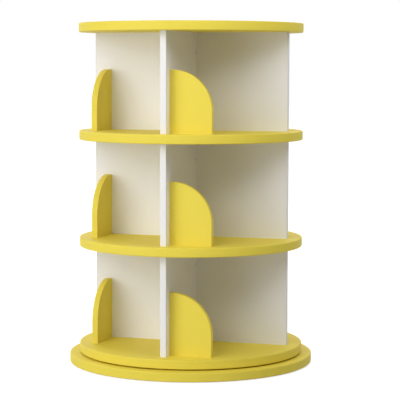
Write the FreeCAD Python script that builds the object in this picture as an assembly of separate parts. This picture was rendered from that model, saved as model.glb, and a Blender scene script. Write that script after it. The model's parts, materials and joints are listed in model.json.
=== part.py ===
"""Revolving desktop bookcase: three book tiers that turn on a ball bearing.

Sizes are in millimetres. The origin is on the table, on the turning axis, and +Z is up.
The front panel of each tier points towards -Y.
Every tier is a pinwheel: one quarter of it is modelled and turned about the axis.
"""
import FreeCAD, Part
import math
import os

# Round boards
BOARD_THICKNESS = 18.0
SHELF_RADIUS = 225.0
BASE_OVERHANG = 20.0
RIM_ROUNDING = 2.0
TURNTABLE_GAP = 2.5

# Upright panels
TIER_HEIGHT = 196.0
PANEL_THICKNESS = 12.0
PANEL_RIM_DISTANCE = 25.0
PANEL_ROUNDING = 0.8
TIERS = ("lower", "middle", "upper")
SIDES = ("front", "right", "back", "left")
QUARTER_TURN = 90.0
FULL_TURN = 360.0

# Quarter-arch book stops
STOP_WIDTH = 84.0
STOP_HEIGHT = 122.0
STOP_CORNER_RADIUS = 80.0
STOP_THICKNESS = 12.0
STOP_SETBACK = 22.0
STOP_ROUNDING = 0.8

# Feet under the base
FOOT_COUNT = 6
FOOT_RADIUS = 12.0
FOOT_HEIGHT = 2.0
FOOT_RIM_DISTANCE = 30.0

# Ring bearing
RACE_RADIUS = 133.0
BALL_RADIUS = 2.5
BALL_COUNT = 36
BALL_CLEARANCE = 0.05
CAGE_THICKNESS = 1.0
CAGE_SIDE_GAP = 0.4
CAGE_POCKET_GAP = 0.1
CAGE_RIM = 0.65
CAGE_END_GAP = 1.0
RING_WIDTH = 16.0
RING_STEP = 1.0
RECESS_CLEARANCE = 1.0

# Countersunk screws
SCREW_RADIUS = 2.0
SCREW_HEAD_RADIUS = 3.8
SCREW_HEAD_DEPTH = 2.0
SCREW_TIP = 2.5
FIXING_CLEARANCE = 0.05
FIXING_END_GAP = 0.5
DRIVE_SLOT_WIDTH = 0.9
DRIVE_SLOT_DEPTH = 1.2
BEARING_SCREW_COUNT = 6
BASE_SCREW_GRIP = 6.0
TURNTABLE_SCREW_GRIP = 8.5
PANEL_SCREW_GRIP = 27.0
HUB_SCREW_GRIP = 28.0
HUB_SCREW_MARGIN = 40.0
HUB_SCREW_STAGGER = 15.0

# Hardwood dowels
DOWEL_RADIUS = 3.0
DOWEL_CHAMFER = 0.6
PANEL_DOWEL_GRIP = 16.0
TOP_DOWEL_GRIP = 12.0
INNER_FIXING_RADIUS = 60.0
OUTER_FIXING_INSET = 40.0
STOP_DOWEL_PANEL_GRIP = 8.0
STOP_DOWEL_GRIP = 16.0
STOP_DOWEL_MARGIN = 30.0

# Values worked out from the ones above
BASE_RADIUS = SHELF_RADIUS + BASE_OVERHANG
PANEL_REACH = SHELF_RADIUS - PANEL_RIM_DISTANCE
FIXING_RADII = (INNER_FIXING_RADIUS, PANEL_REACH - OUTER_FIXING_INSET)
PANEL_MIDDLE = PANEL_THICKNESS / 2
CAGE_HEIGHT = 2 * (BALL_RADIUS + CAGE_POCKET_GAP + CAGE_RIM)
BEARING_HEIGHT = CAGE_HEIGHT + 2 * CAGE_END_GAP
RING_HEIGHT = BEARING_HEIGHT - RING_STEP
RACE_HALF_GAP = CAGE_THICKNESS / 2 + CAGE_SIDE_GAP
OUTER_RING_INSIDE = RACE_RADIUS + RACE_HALF_GAP
OUTER_RING_OUTSIDE = OUTER_RING_INSIDE + RING_WIDTH
INNER_RING_OUTSIDE = RACE_RADIUS - RACE_HALF_GAP
INNER_RING_INSIDE = INNER_RING_OUTSIDE - RING_WIDTH
RECESS_DEPTH = BEARING_HEIGHT - TURNTABLE_GAP
OUTER_SCREW_CIRCLE = OUTER_RING_INSIDE + RING_WIDTH / 2
INNER_SCREW_CIRCLE = INNER_RING_INSIDE + RING_WIDTH / 2

BASE_BOTTOM = FOOT_HEIGHT
BASE_TOP = BASE_BOTTOM + BOARD_THICKNESS
RECESS_FLOOR = BASE_TOP - RECESS_DEPTH
TURNTABLE_BOTTOM = BASE_TOP + TURNTABLE_GAP
TIER_PITCH = BOARD_THICKNESS + TIER_HEIGHT
TIER_FLOORS = [TURNTABLE_BOTTOM + BOARD_THICKNESS + tier * TIER_PITCH for tier in range(len(TIERS))]
BALL_LEVEL = RECESS_FLOOR + BEARING_HEIGHT / 2

UP = FreeCAD.Vector(0, 0, 1)
PLUS_X = FreeCAD.Vector(1, 0, 0)
MINUS_Y = FreeCAD.Vector(0, -1, 0)


def point(x, y, z):
    return FreeCAD.Vector(x, y, z)


def rod(radius, length, start, direction=UP):
    return Part.makeCylinder(radius, length, start, direction)


def around_axis(shape, degrees):
    """A copy of the shape, turned about the bookcase's vertical axis."""
    turned = shape.copy()
    turned.rotate(point(0, 0, 0), UP, degrees)
    return turned


def quarter(shape, side):
    """The front quarter's shape, turned to another side of the pinwheel."""
    return around_axis(shape, QUARTER_TURN * side)


def all_quarters(shapes):
    return [quarter(shape, side) for side in range(len(SIDES)) for shape in shapes]


def aimed(shape, start, direction):
    """A shape made along +Z from the origin, moved to start and pointed along direction."""
    placed = shape.copy()
    placed.Placement = FreeCAD.Placement(start, FreeCAD.Rotation(UP, direction))
    return placed


def round_board(radius, bottom):
    """A disc with softly rounded rim edges."""
    disc = rod(radius, BOARD_THICKNESS, point(0, 0, bottom))
    rims = [edge for edge in disc.Edges if isinstance(edge.Curve, Part.Circle)]
    return disc.makeFillet(RIM_ROUNDING, rims)


def ring(inside, outside, bottom, height):
    whole = rod(outside, height, point(0, 0, bottom))
    return whole.cut(rod(inside, height, point(0, 0, bottom)))


def screw(length):
    """A countersunk screw along +Z, its flat head at the origin, with a cross slot."""
    shank_length = length - SCREW_HEAD_DEPTH - SCREW_TIP
    head = Part.makeCone(SCREW_HEAD_RADIUS, SCREW_RADIUS, SCREW_HEAD_DEPTH)
    shank = rod(SCREW_RADIUS, shank_length, point(0, 0, SCREW_HEAD_DEPTH))
    tip = Part.makeCone(SCREW_RADIUS, SCREW_RADIUS / 3, SCREW_TIP, point(0, 0, length - SCREW_TIP))
    slot_length = 2 * SCREW_RADIUS
    corner = point(-slot_length / 2, -DRIVE_SLOT_WIDTH / 2, 0)
    slot = Part.makeBox(slot_length, DRIVE_SLOT_WIDTH, DRIVE_SLOT_DEPTH, corner)
    cross = slot.fuse(around_axis(slot, QUARTER_TURN))
    return head.fuse([shank, tip]).removeSplitter().cut(cross)


def screw_hole(length):
    """The countersunk hole that such a screw fits, along +Z from the origin."""
    radius = SCREW_RADIUS + FIXING_CLEARANCE
    head_radius = SCREW_HEAD_RADIUS + FIXING_CLEARANCE
    sink = Part.makeCone(head_radius, radius, SCREW_HEAD_DEPTH + FIXING_CLEARANCE)
    return sink.fuse(rod(radius, length + FIXING_END_GAP, point(0, 0, 0)))


def dowel(length):
    """A dowel along +Z from the origin, with both ends chamfered."""
    pin = rod(DOWEL_RADIUS, length, point(0, 0, 0))
    ends = [edge for edge in pin.Edges if isinstance(edge.Curve, Part.Circle)]
    return pin.makeChamfer(DOWEL_CHAMFER, ends)


def dowel_hole(length):
    """The hole round a dowel, a little longer than it at both ends."""
    start = point(0, 0, -FIXING_END_GAP)
    return rod(DOWEL_RADIUS + FIXING_CLEARANCE, length + 2 * FIXING_END_GAP, start)


# Places of the fixings on the front quarter: each is a start point and a direction
def upright_places(level):
    return [(point(PANEL_MIDDLE, -radius, level), UP) for radius in FIXING_RADII]


def stop_dowel_places(floor):
    start = PANEL_THICKNESS - STOP_DOWEL_PANEL_GRIP
    depth = -PANEL_REACH + STOP_SETBACK + STOP_THICKNESS / 2
    heights = (STOP_DOWEL_MARGIN, STOP_HEIGHT - STOP_DOWEL_MARGIN)
    return [(point(start, depth, floor + height), PLUS_X) for height in heights]


def hub_screw_places(floor, side):
    """Screws through the next panel into this panel's inner end, staggered by side."""
    shift = HUB_SCREW_STAGGER * (side % 2)
    lowest = HUB_SCREW_MARGIN
    highest = TIER_HEIGHT - HUB_SCREW_MARGIN - HUB_SCREW_STAGGER
    heights = (lowest + shift, highest + shift)
    return [(point(PANEL_MIDDLE, PANEL_THICKNESS, floor + height), MINUS_Y) for height in heights]


def placed(shape, places):
    return [aimed(shape, start, direction) for start, direction in places]


def bearing_circle(radius, level, shape):
    """Copies of a shape made along +Z, evenly spaced on a circle round the axis."""
    first = aimed(shape, point(radius, 0, level), UP)
    return [around_axis(first, FULL_TURN * i / BEARING_SCREW_COUNT) for i in range(BEARING_SCREW_COUNT)]


THROUGH_DOWEL_LENGTH = BOARD_THICKNESS + 2 * PANEL_DOWEL_GRIP
TOP_DOWEL_LENGTH = TOP_DOWEL_GRIP + PANEL_DOWEL_GRIP
STOP_DOWEL_LENGTH = STOP_DOWEL_PANEL_GRIP + STOP_DOWEL_GRIP
HUB_SCREW_LENGTH = PANEL_THICKNESS + HUB_SCREW_GRIP
PANEL_SCREW_LENGTH = BOARD_THICKNESS + PANEL_SCREW_GRIP
BASE_SCREW_LENGTH = BOARD_THICKNESS - RECESS_DEPTH + BASE_SCREW_GRIP
TURNTABLE_SCREW_LENGTH = RING_HEIGHT + TURNTABLE_SCREW_GRIP


def shelf_dowel_places(shelf_bottom):
    return upright_places(shelf_bottom - PANEL_DOWEL_GRIP)


def top_dowel_places(tier):
    return upright_places(TIER_FLOORS[tier] + TIER_HEIGHT - PANEL_DOWEL_GRIP)


def base_disc():
    disc = round_board(BASE_RADIUS, BASE_BOTTOM)
    recess = ring(
        INNER_RING_INSIDE - RECESS_CLEARANCE,
        OUTER_RING_OUTSIDE + RECESS_CLEARANCE,
        RECESS_FLOOR,
        RECESS_DEPTH,
    )
    holes = bearing_circle(OUTER_SCREW_CIRCLE, BASE_BOTTOM, screw_hole(BASE_SCREW_LENGTH))
    return disc.cut([recess] + holes)


def rubber_feet():
    circle = BASE_RADIUS - FOOT_RIM_DISTANCE
    foot = rod(FOOT_RADIUS, FOOT_HEIGHT, point(circle, 0, 0))
    return Part.makeCompound([around_axis(foot, FULL_TURN * i / FOOT_COUNT) for i in range(FOOT_COUNT)])


def race_groove():
    radius = BALL_RADIUS + BALL_CLEARANCE
    return Part.makeTorus(RACE_RADIUS, radius, point(0, 0, BALL_LEVEL), UP)


def bearing_outer_ring():
    body = ring(OUTER_RING_INSIDE, OUTER_RING_OUTSIDE, RECESS_FLOOR, RING_HEIGHT)
    hole = rod(SCREW_RADIUS + FIXING_CLEARANCE, RING_HEIGHT, point(0, 0, 0))
    return body.cut([race_groove()] + bearing_circle(OUTER_SCREW_CIRCLE, RECESS_FLOOR, hole))


def bearing_inner_ring():
    bottom = TURNTABLE_BOTTOM - RING_HEIGHT
    body = ring(INNER_RING_INSIDE, INNER_RING_OUTSIDE, bottom, RING_HEIGHT)
    hole = screw_hole(TURNTABLE_SCREW_LENGTH)
    return body.cut([race_groove()] + bearing_circle(INNER_SCREW_CIRCLE, bottom, hole))


def bearing_ball_cage():
    half = CAGE_THICKNESS / 2
    strip = ring(RACE_RADIUS - half, RACE_RADIUS + half, BALL_LEVEL - CAGE_HEIGHT / 2, CAGE_HEIGHT)
    start = point(RACE_RADIUS - CAGE_THICKNESS, 0, BALL_LEVEL)
    pocket = rod(BALL_RADIUS + CAGE_POCKET_GAP, 2 * CAGE_THICKNESS, start, PLUS_X)
    return strip.cut([around_axis(pocket, FULL_TURN * i / BALL_COUNT) for i in range(BALL_COUNT)])


def bearing_balls():
    ball = Part.makeSphere(BALL_RADIUS, point(RACE_RADIUS, 0, BALL_LEVEL))
    return Part.makeCompound([around_axis(ball, FULL_TURN * i / BALL_COUNT) for i in range(BALL_COUNT)])


def turntable_disc():
    disc = round_board(SHELF_RADIUS, TURNTABLE_BOTTOM)
    ring_bottom = TURNTABLE_BOTTOM - RING_HEIGHT
    holes = bearing_circle(INNER_SCREW_CIRCLE, ring_bottom, screw_hole(TURNTABLE_SCREW_LENGTH))
    holes += all_quarters(placed(screw_hole(PANEL_SCREW_LENGTH), upright_places(TURNTABLE_BOTTOM)))
    return disc.cut(holes)


def shelf(tier):
    """The round shelf under the middle or the upper tier."""
    bottom = TIER_FLOORS[tier] - BOARD_THICKNESS
    holes = all_quarters(placed(dowel_hole(THROUGH_DOWEL_LENGTH), shelf_dowel_places(bottom)))
    return round_board(SHELF_RADIUS, bottom).cut(holes)


def top_disc():
    last = len(TIERS) - 1
    disc = round_board(SHELF_RADIUS, TIER_FLOORS[last] + TIER_HEIGHT)
    return disc.cut(all_quarters(placed(dowel_hole(TOP_DOWEL_LENGTH), top_dowel_places(last))))


def panel_fixing_holes(tier, side):
    """Every hole that cuts one panel, as seen with that panel at the front."""
    floor = TIER_FLOORS[tier]
    if tier == 0:
        holes = placed(screw_hole(PANEL_SCREW_LENGTH), upright_places(TURNTABLE_BOTTOM))
    else:
        below = shelf_dowel_places(floor - BOARD_THICKNESS)
        holes = placed(dowel_hole(THROUGH_DOWEL_LENGTH), below)
    if tier == len(TIERS) - 1:
        holes += placed(dowel_hole(TOP_DOWEL_LENGTH), top_dowel_places(tier))
    else:
        above = shelf_dowel_places(floor + TIER_HEIGHT)
        holes += placed(dowel_hole(THROUGH_DOWEL_LENGTH), above)
    holes += placed(dowel_hole(STOP_DOWEL_LENGTH), stop_dowel_places(floor))
    own_end = placed(screw_hole(HUB_SCREW_LENGTH), hub_screw_places(floor, side))
    previous = placed(screw_hole(HUB_SCREW_LENGTH), hub_screw_places(floor, side - 1))
    return holes + own_end + [quarter(hole, -1) for hole in previous]


def panel(tier, side):
    """An upright panel: its inner end meets the next panel's face beside the axis."""
    corner = point(0, -PANEL_REACH, TIER_FLOORS[tier])
    board = Part.makeBox(PANEL_THICKNESS, PANEL_REACH, TIER_HEIGHT, corner)
    outer_edges = [
        edge
        for edge in board.Edges
        if edge.BoundBox.YMax < -PANEL_REACH / 2 and edge.BoundBox.ZLength > TIER_HEIGHT / 2
    ]
    board = board.makeFillet(PANEL_ROUNDING, outer_edges)
    return quarter(board.cut(panel_fixing_holes(tier, side)), side)


def stop_outline(floor):
    """The quarter arch: a foot on the shelf, an edge on the panel and one big round corner."""
    inside = PANEL_THICKNESS
    outside = inside + STOP_WIDTH
    top = floor + STOP_HEIGHT
    front = -PANEL_REACH + STOP_SETBACK
    radius = STOP_CORNER_RADIUS
    slant = radius * (1 - math.sqrt(0.5))
    foot_in = point(inside, front, floor)
    foot_out = point(outside, front, floor)
    arc_start = point(outside, front, top - radius)
    arc_middle = point(outside - slant, front, top - slant)
    arc_end = point(outside - radius, front, top)
    top_in = point(inside, front, top)
    edges = [
        Part.LineSegment(foot_in, foot_out).toShape(),
        Part.LineSegment(foot_out, arc_start).toShape(),
        Part.Arc(arc_start, arc_middle, arc_end).toShape(),
        Part.LineSegment(arc_end, top_in).toShape(),
        Part.LineSegment(top_in, foot_in).toShape(),
    ]
    return Part.Face(Part.Wire(edges))


def book_stop(tier, side):
    floor = TIER_FLOORS[tier]
    plate = stop_outline(floor).extrude(point(0, STOP_THICKNESS, 0))
    free_edges = [
        edge
        for edge in plate.Edges
        if edge.BoundBox.YLength < STOP_ROUNDING
        and edge.BoundBox.ZMax > floor + STOP_ROUNDING
        and edge.BoundBox.XMax > PANEL_THICKNESS + STOP_ROUNDING
    ]
    plate = plate.makeFillet(STOP_ROUNDING, free_edges)
    return quarter(plate.cut(placed(dowel_hole(STOP_DOWEL_LENGTH), stop_dowel_places(floor))), side)


def hub_screws(tier):
    floor = TIER_FLOORS[tier]
    screws = []
    for side in range(len(SIDES)):
        for one in placed(screw(HUB_SCREW_LENGTH), hub_screw_places(floor, side)):
            screws.append(quarter(one, side))
    return Part.makeCompound(screws)


def stop_dowels(tier):
    return Part.makeCompound(
        all_quarters(placed(dowel(STOP_DOWEL_LENGTH), stop_dowel_places(TIER_FLOORS[tier])))
    )


def shelf_dowels(tier):
    places = shelf_dowel_places(TIER_FLOORS[tier] - BOARD_THICKNESS)
    return Part.makeCompound(all_quarters(placed(dowel(THROUGH_DOWEL_LENGTH), places)))


def top_dowels():
    places = top_dowel_places(len(TIERS) - 1)
    return Part.makeCompound(all_quarters(placed(dowel(TOP_DOWEL_LENGTH), places)))


def bearing_screws(radius, level, length):
    return Part.makeCompound(bearing_circle(radius, level, screw(length)))


def panel_screws():
    places = upright_places(TURNTABLE_BOTTOM)
    return Part.makeCompound(all_quarters(placed(screw(PANEL_SCREW_LENGTH), places)))


def build():
    parts = {
        "base_disc": base_disc(),
        "rubber_feet": rubber_feet(),
        "bearing_outer_ring": bearing_outer_ring(),
        "bearing_inner_ring": bearing_inner_ring(),
        "bearing_ball_cage": bearing_ball_cage(),
        "bearing_balls": bearing_balls(),
        "bearing_base_screws": bearing_screws(OUTER_SCREW_CIRCLE, BASE_BOTTOM, BASE_SCREW_LENGTH),
        "bearing_turntable_screws": bearing_screws(
            INNER_SCREW_CIRCLE, TURNTABLE_BOTTOM - RING_HEIGHT, TURNTABLE_SCREW_LENGTH
        ),
        "turntable_disc": turntable_disc(),
        "turntable_panel_screws": panel_screws(),
        "middle_shelf": shelf(1),
        "middle_shelf_dowels": shelf_dowels(1),
        "upper_shelf": shelf(2),
        "upper_shelf_dowels": shelf_dowels(2),
        "top_disc": top_disc(),
        "top_disc_dowels": top_dowels(),
    }
    for tier, tier_name in enumerate(TIERS):
        for side, side_name in enumerate(SIDES):
            parts[f"{tier_name}_{side_name}_panel"] = panel(tier, side)
            parts[f"{tier_name}_{side_name}_book_stop"] = book_stop(tier, side)
        parts[f"{tier_name}_hub_screws"] = hub_screws(tier)
        parts[f"{tier_name}_book_stop_dowels"] = stop_dowels(tier)
    return parts


os.makedirs("parts", exist_ok=True)
for node, shape in build().items():
    shape.exportStep(f"parts/{node}.step")
    print(node, len(shape.Solids), "solids,", round(shape.Volume / 1000, 1), "cm3")
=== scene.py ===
# %% [markdown]
# A revolving desktop bookcase
#
# Three tiers of white panels stand between yellow round boards and turn on a ring bearing.
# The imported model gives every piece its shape, size and place, in metres. This notebook gives
# the pieces their finishes. It also makes the shelves, the top, the screws, the dowels and the
# feet again with finer detail.

# %% Load the frame
import bmesh
import bpy
import json
import math
from mathutils import Matrix, Vector


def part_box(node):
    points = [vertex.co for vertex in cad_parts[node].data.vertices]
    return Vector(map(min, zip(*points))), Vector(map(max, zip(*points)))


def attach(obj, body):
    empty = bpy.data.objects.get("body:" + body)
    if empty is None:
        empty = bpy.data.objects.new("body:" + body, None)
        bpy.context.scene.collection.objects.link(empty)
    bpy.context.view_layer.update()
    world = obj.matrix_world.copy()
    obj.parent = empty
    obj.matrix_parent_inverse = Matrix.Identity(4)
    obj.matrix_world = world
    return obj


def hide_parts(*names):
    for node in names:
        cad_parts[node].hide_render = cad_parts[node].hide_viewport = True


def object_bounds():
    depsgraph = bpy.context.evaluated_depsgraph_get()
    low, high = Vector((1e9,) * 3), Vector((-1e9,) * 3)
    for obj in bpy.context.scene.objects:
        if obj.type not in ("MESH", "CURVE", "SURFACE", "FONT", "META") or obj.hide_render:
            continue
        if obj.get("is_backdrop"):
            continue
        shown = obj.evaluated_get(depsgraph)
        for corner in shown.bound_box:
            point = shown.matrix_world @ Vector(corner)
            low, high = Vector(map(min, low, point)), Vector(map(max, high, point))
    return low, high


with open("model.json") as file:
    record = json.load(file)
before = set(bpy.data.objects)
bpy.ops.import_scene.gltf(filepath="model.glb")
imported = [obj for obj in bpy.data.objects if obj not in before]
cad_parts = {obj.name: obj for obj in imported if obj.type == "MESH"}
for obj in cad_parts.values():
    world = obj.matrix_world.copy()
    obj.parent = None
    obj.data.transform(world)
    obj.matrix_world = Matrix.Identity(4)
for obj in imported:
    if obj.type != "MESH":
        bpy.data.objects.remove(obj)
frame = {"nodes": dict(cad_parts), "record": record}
nodes = frame["nodes"]
cad_box = [list(corner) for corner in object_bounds()]
MM = 0.001

# %% [markdown]
# The camera stands where the photographer stood. The rims of round boards look like ellipses,
# and each one opens more the further it lies below the lens, so five rims give the height and
# the distance. A long lens a few metres away keeps the uprights nearly parallel. The camera is
# aimed by turning it step by step, because the small tilt and roll then stay readable. Lengths
# are in metres and angles in radians, but Blender counts a sensor's width in millimetres.

# %% Camera
CAMERA_AZIMUTH = math.radians(17.12)
CAMERA_DISTANCE = 3.168
CAMERA_HEIGHT = 0.597
CAMERA_PITCH = 0.0850
CAMERA_YAW = 0.0058
CAMERA_ROLL = 0.0023
FOCAL_PIXELS = 1570.0
PICTURE_PIXELS = 400.0
SENSOR_WIDTH = 36.0


def add_camera():
    """The camera of the photograph, aimed at the axis and then turned by small corrections."""
    data = bpy.data.cameras.new("photo_camera")
    data.sensor_width = SENSOR_WIDTH
    data.lens = FOCAL_PIXELS / PICTURE_PIXELS * SENSOR_WIDTH
    camera = bpy.data.objects.new("photo_camera", data)
    place = Matrix.Rotation(CAMERA_AZIMUTH, 4, "Z") @ Vector((0, -CAMERA_DISTANCE, CAMERA_HEIGHT))
    upright = Matrix.Rotation(math.radians(90), 4, "X")
    heading = Matrix.Rotation(CAMERA_AZIMUTH - CAMERA_YAW, 4, "Z")
    pitch = Matrix.Rotation(-CAMERA_PITCH, 4, "X")
    roll = Matrix.Rotation(CAMERA_ROLL, 4, "Z")
    camera.matrix_world = Matrix.Translation(place) @ heading @ pitch @ upright @ roll
    bpy.context.scene.collection.objects.link(camera)
    bpy.context.scene.camera = camera
    return camera


camera = add_camera()
print("Camera at", [round(v, 3) for v in camera.location], "with a lens of", round(camera.data.lens), "mm")

# %% [markdown]
# Materials are graphs of nodes, and a graph is easier to read when each node is one line of
# code. The helpers here add a node, set its options, and link another node's output to an
# input or write a plain value on it. Two more do sums and move a value from one range to
# another, and the last opens a group with named sockets.

# %% Node helpers
def feed(tree, socket, value):
    """Link an output to the socket, or set a plain value on it."""
    if isinstance(value, bpy.types.NodeSocket):
        tree.links.new(value, socket)
    else:
        socket.default_value = value


def add(tree, kind, inputs=None, **options):
    """Add a node, with its options set and its inputs filled by name or number."""
    node = tree.nodes.new(kind)
    for option, value in options.items():
        setattr(node, option, value)
    for name, value in (inputs or {}).items():
        feed(tree, node.inputs[name], value)
    return node


def maths(tree, operation, *values):
    """The result of a Math node."""
    return add(tree, "ShaderNodeMath", dict(enumerate(values)), operation=operation).outputs[0]


def remap(tree, value, low, high, to_low=0.0, to_high=1.0):
    """The value eased from one range into another, and held inside it."""
    node = add(tree, "ShaderNodeMapRange", {"Value": value}, interpolation_type="SMOOTHSTEP")
    for name, number in zip(("From Min", "From Max", "To Min", "To Max"), (low, high, to_low, to_high)):
        feed(tree, node.inputs[name], number)
    return node.outputs["Result"]


def open_tree(name, kind, inputs, outputs):
    """A new node group with named sockets, and its two end nodes."""
    tree = bpy.data.node_groups.new(name, kind)
    for label, socket_type, value in inputs:
        socket = tree.interface.new_socket(label, in_out="INPUT", socket_type=socket_type)
        if value is not None:
            socket.default_value = value
    for label, socket_type in outputs:
        tree.interface.new_socket(label, in_out="OUTPUT", socket_type=socket_type)
    return tree, tree.nodes.new("NodeGroupInput").outputs, tree.nodes.new("NodeGroupOutput").inputs


print("Helpers for nodes and groups are ready")

# %% [markdown]
# Factory paint and laminate look even, but the eye still reads small things: a tint that
# drifts by a percent or two, a skin like fine orange peel, places that hands have polished, and
# edges a little paler, partly rubbed and partly a painted highlight. Each of these is made once
# as a shader group and placed in every material that needs it, with its own numbers. The first
# is the drift: a slow cloud of noise makes the colour a touch lighter here and darker there.

# %% Shader group: tint drift
def make_tint_drift():
    tree, given, result = open_tree(
        "tint_drift",
        "ShaderNodeTree",
        [
            ("Place", "NodeSocketVector", None),
            ("Colour", "NodeSocketColor", (0.5, 0.5, 0.5, 1)),
            ("Amount", "NodeSocketFloat", 0.03),
            ("Scale", "NodeSocketFloat", 12.0),
        ],
        [("Colour", "NodeSocketColor")],
    )
    cloud = add(tree, "ShaderNodeTexNoise", {"Vector": given["Place"], "Scale": given["Scale"]})
    cloud.inputs["Detail"].default_value = 3.0
    swing = maths(tree, "MULTIPLY_ADD", cloud.outputs["Fac"], 2.0, -1.0)
    factor = maths(tree, "MULTIPLY_ADD", swing, given["Amount"], 1.0)
    tinted = add(tree, "ShaderNodeVectorMath", {0: given["Colour"], "Scale": factor}, operation="SCALE")
    feed(tree, result["Colour"], tinted.outputs[0])
    return tree


tint_drift = make_tint_drift()
print("Group", tint_drift.name, "with", len(tint_drift.nodes), "nodes")

# %% [markdown]
# A sprayed coat dries in low waves, and pressed laminate has a fine pebble. Both are a wave of
# noise with a finer grain on top, so one group gives the height of either, and the scales and
# the share of grain tell them apart.

# %% Shader group: sprayed or pressed skin
def make_fine_skin():
    tree, given, result = open_tree(
        "fine_skin",
        "ShaderNodeTree",
        [
            ("Place", "NodeSocketVector", None),
            ("Wave scale", "NodeSocketFloat", 260.0),
            ("Grain scale", "NodeSocketFloat", 1400.0),
            ("Grain share", "NodeSocketFloat", 0.3),
        ],
        [("Height", "NodeSocketFloat")],
    )
    wave = add(tree, "ShaderNodeTexNoise", {"Vector": given["Place"], "Scale": given["Wave scale"]})
    wave.inputs["Detail"].default_value = 1.0
    grain = add(tree, "ShaderNodeTexNoise", {"Vector": given["Place"], "Scale": given["Grain scale"]})
    grain.inputs["Detail"].default_value = 2.0
    share = maths(tree, "MULTIPLY", grain.outputs["Fac"], given["Grain share"])
    feed(tree, result["Height"], maths(tree, "ADD", wave.outputs["Fac"], share))
    return tree


fine_skin = make_fine_skin()
print("Group", fine_skin.name, "with", len(fine_skin.nodes), "nodes")

# %% [markdown]
# Gloss is never quite even, because hands polish some places and dust dulls others. Smears of
# distorted noise move the roughness up and down about its middle value.

# %% Shader group: handled gloss
def make_handled_gloss():
    tree, given, result = open_tree(
        "handled_gloss",
        "ShaderNodeTree",
        [
            ("Place", "NodeSocketVector", None),
            ("Roughness", "NodeSocketFloat", 0.4),
            ("Spread", "NodeSocketFloat", 0.06),
            ("Scale", "NodeSocketFloat", 18.0),
        ],
        [("Roughness", "NodeSocketFloat")],
    )
    smear = add(tree, "ShaderNodeTexNoise", {"Vector": given["Place"], "Scale": given["Scale"]})
    smear.inputs["Detail"].default_value = 4.0
    smear.inputs["Distortion"].default_value = 0.6
    swing = maths(tree, "MULTIPLY_ADD", smear.outputs["Fac"], 2.0, -1.0)
    feed(tree, result["Roughness"], maths(tree, "MULTIPLY_ADD", swing, given["Spread"], given["Roughness"]))
    return tree


handled_gloss = make_handled_gloss()
print("Group", handled_gloss.name, "with", len(handled_gloss.nodes), "nodes")

# %% [markdown]
# The paler edge, partly rubbed paint and partly a painted highlight along the edge, is found by
# comparing the true normal with the one that a Bevel node would give: they part only beside an
# edge. The Bevel node feels for edges with rays, so it also works on a mesh whose triangles
# aren't joined. Noise breaks the line up, because wear is never even.

# %% Shader group: worn edge with a painted highlight
EDGE_STARTS = 0.004
EDGE_IS_FULL = 0.12
BARE_PATCH = 0.3
FULL_PATCH = 0.65


def make_worn_and_highlit_edge():
    tree, given, result = open_tree(
        "worn_and_highlit_edge",
        "ShaderNodeTree",
        [
            ("Place", "NodeSocketVector", None),
            ("Width", "NodeSocketFloat", 0.0015),
            ("Patch scale", "NodeSocketFloat", 45.0),
        ],
        [("Mask", "NodeSocketFloat")],
    )
    bevel = add(tree, "ShaderNodeBevel", {"Radius": given["Width"]}, samples=4)
    surface = tree.nodes.new("ShaderNodeNewGeometry")
    same = add(tree, "ShaderNodeVectorMath", operation="DOT_PRODUCT")
    feed(tree, same.inputs[0], bevel.outputs["Normal"])
    feed(tree, same.inputs[1], surface.outputs["Normal"])
    edge = remap(tree, maths(tree, "SUBTRACT", 1.0, same.outputs["Value"]), EDGE_STARTS, EDGE_IS_FULL)
    patch = add(tree, "ShaderNodeTexNoise", {"Vector": given["Place"], "Scale": given["Patch scale"]})
    patch.inputs["Detail"].default_value = 3.0
    worn_and_highlit = remap(tree, patch.outputs["Fac"], BARE_PATCH, FULL_PATCH)
    # The mask marks the edges to lighten: partly wear, partly a painted highlight along them.
    feed(tree, result["Mask"], maths(tree, "MULTIPLY", edge, worn_and_highlit))
    return tree


worn_and_highlit_edge = make_worn_and_highlit_edge()
print("Group", worn_and_highlit_edge.name, "with", len(worn_and_highlit_edge.nodes), "nodes")

# %% [markdown]
# Every material starts the same way: a Principled shader, the object's own coordinates, and
# the groups above. Values that are even all over the surface, such as the strength of the
# highlight, are written straight on the shader.

# %% Material helpers
def open_material(name, **shader_values):
    """A new material's tree, shader and object coordinates, with even values on the shader."""
    material = bpy.data.materials.new(name)
    material.use_nodes = True
    tree = material.node_tree
    shader = tree.nodes["Principled BSDF"]
    for label, value in shader_values.items():
        shader.inputs[label.replace("_", " ").title().replace("Ior", "IOR")].default_value = value
    place = tree.nodes.new("ShaderNodeTexCoord").outputs["Object"]
    return material, tree, shader, place


def use(tree, group, **inputs):
    """A shader group placed in a material, with its inputs filled."""
    node = add(tree, "ShaderNodeGroup", node_tree=group)
    for label, value in inputs.items():
        feed(tree, node.inputs[label.replace("_", " ")], value)
    return node.outputs[0]


def raise_surface(tree, shader, height, depth):
    """Feed a height to the shader as a bump of the given depth in metres."""
    bump = add(tree, "ShaderNodeBump", {"Height": height, "Distance": depth, "Strength": 1.0})
    feed(tree, shader.inputs["Normal"], bump.outputs["Normal"])


def blend_colours(tree, factor, first, second):
    """Two colours mixed by a factor. Inputs 6 and 7 and output 2 are the node's colour sockets."""
    node = add(tree, "ShaderNodeMix", data_type="RGBA")
    feed(tree, node.inputs["Factor"], factor)
    feed(tree, node.inputs[6], first)
    feed(tree, node.inputs[7], second)
    return node.outputs[2]


print("Helpers for materials are ready")

# %% [markdown]
# The round boards and the book stops are fibreboard under a sprayed satin paint. The paint is
# a warm lemon yellow. Its skin has the faint waves of a spray coat, and the rim edges are
# slightly paler and smoother, partly where hands turn the case and partly as a painted highlight.

# %% Material: satin yellow paint
PAINT_YELLOW = (0.82, 0.672, 0.08, 1)
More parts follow.
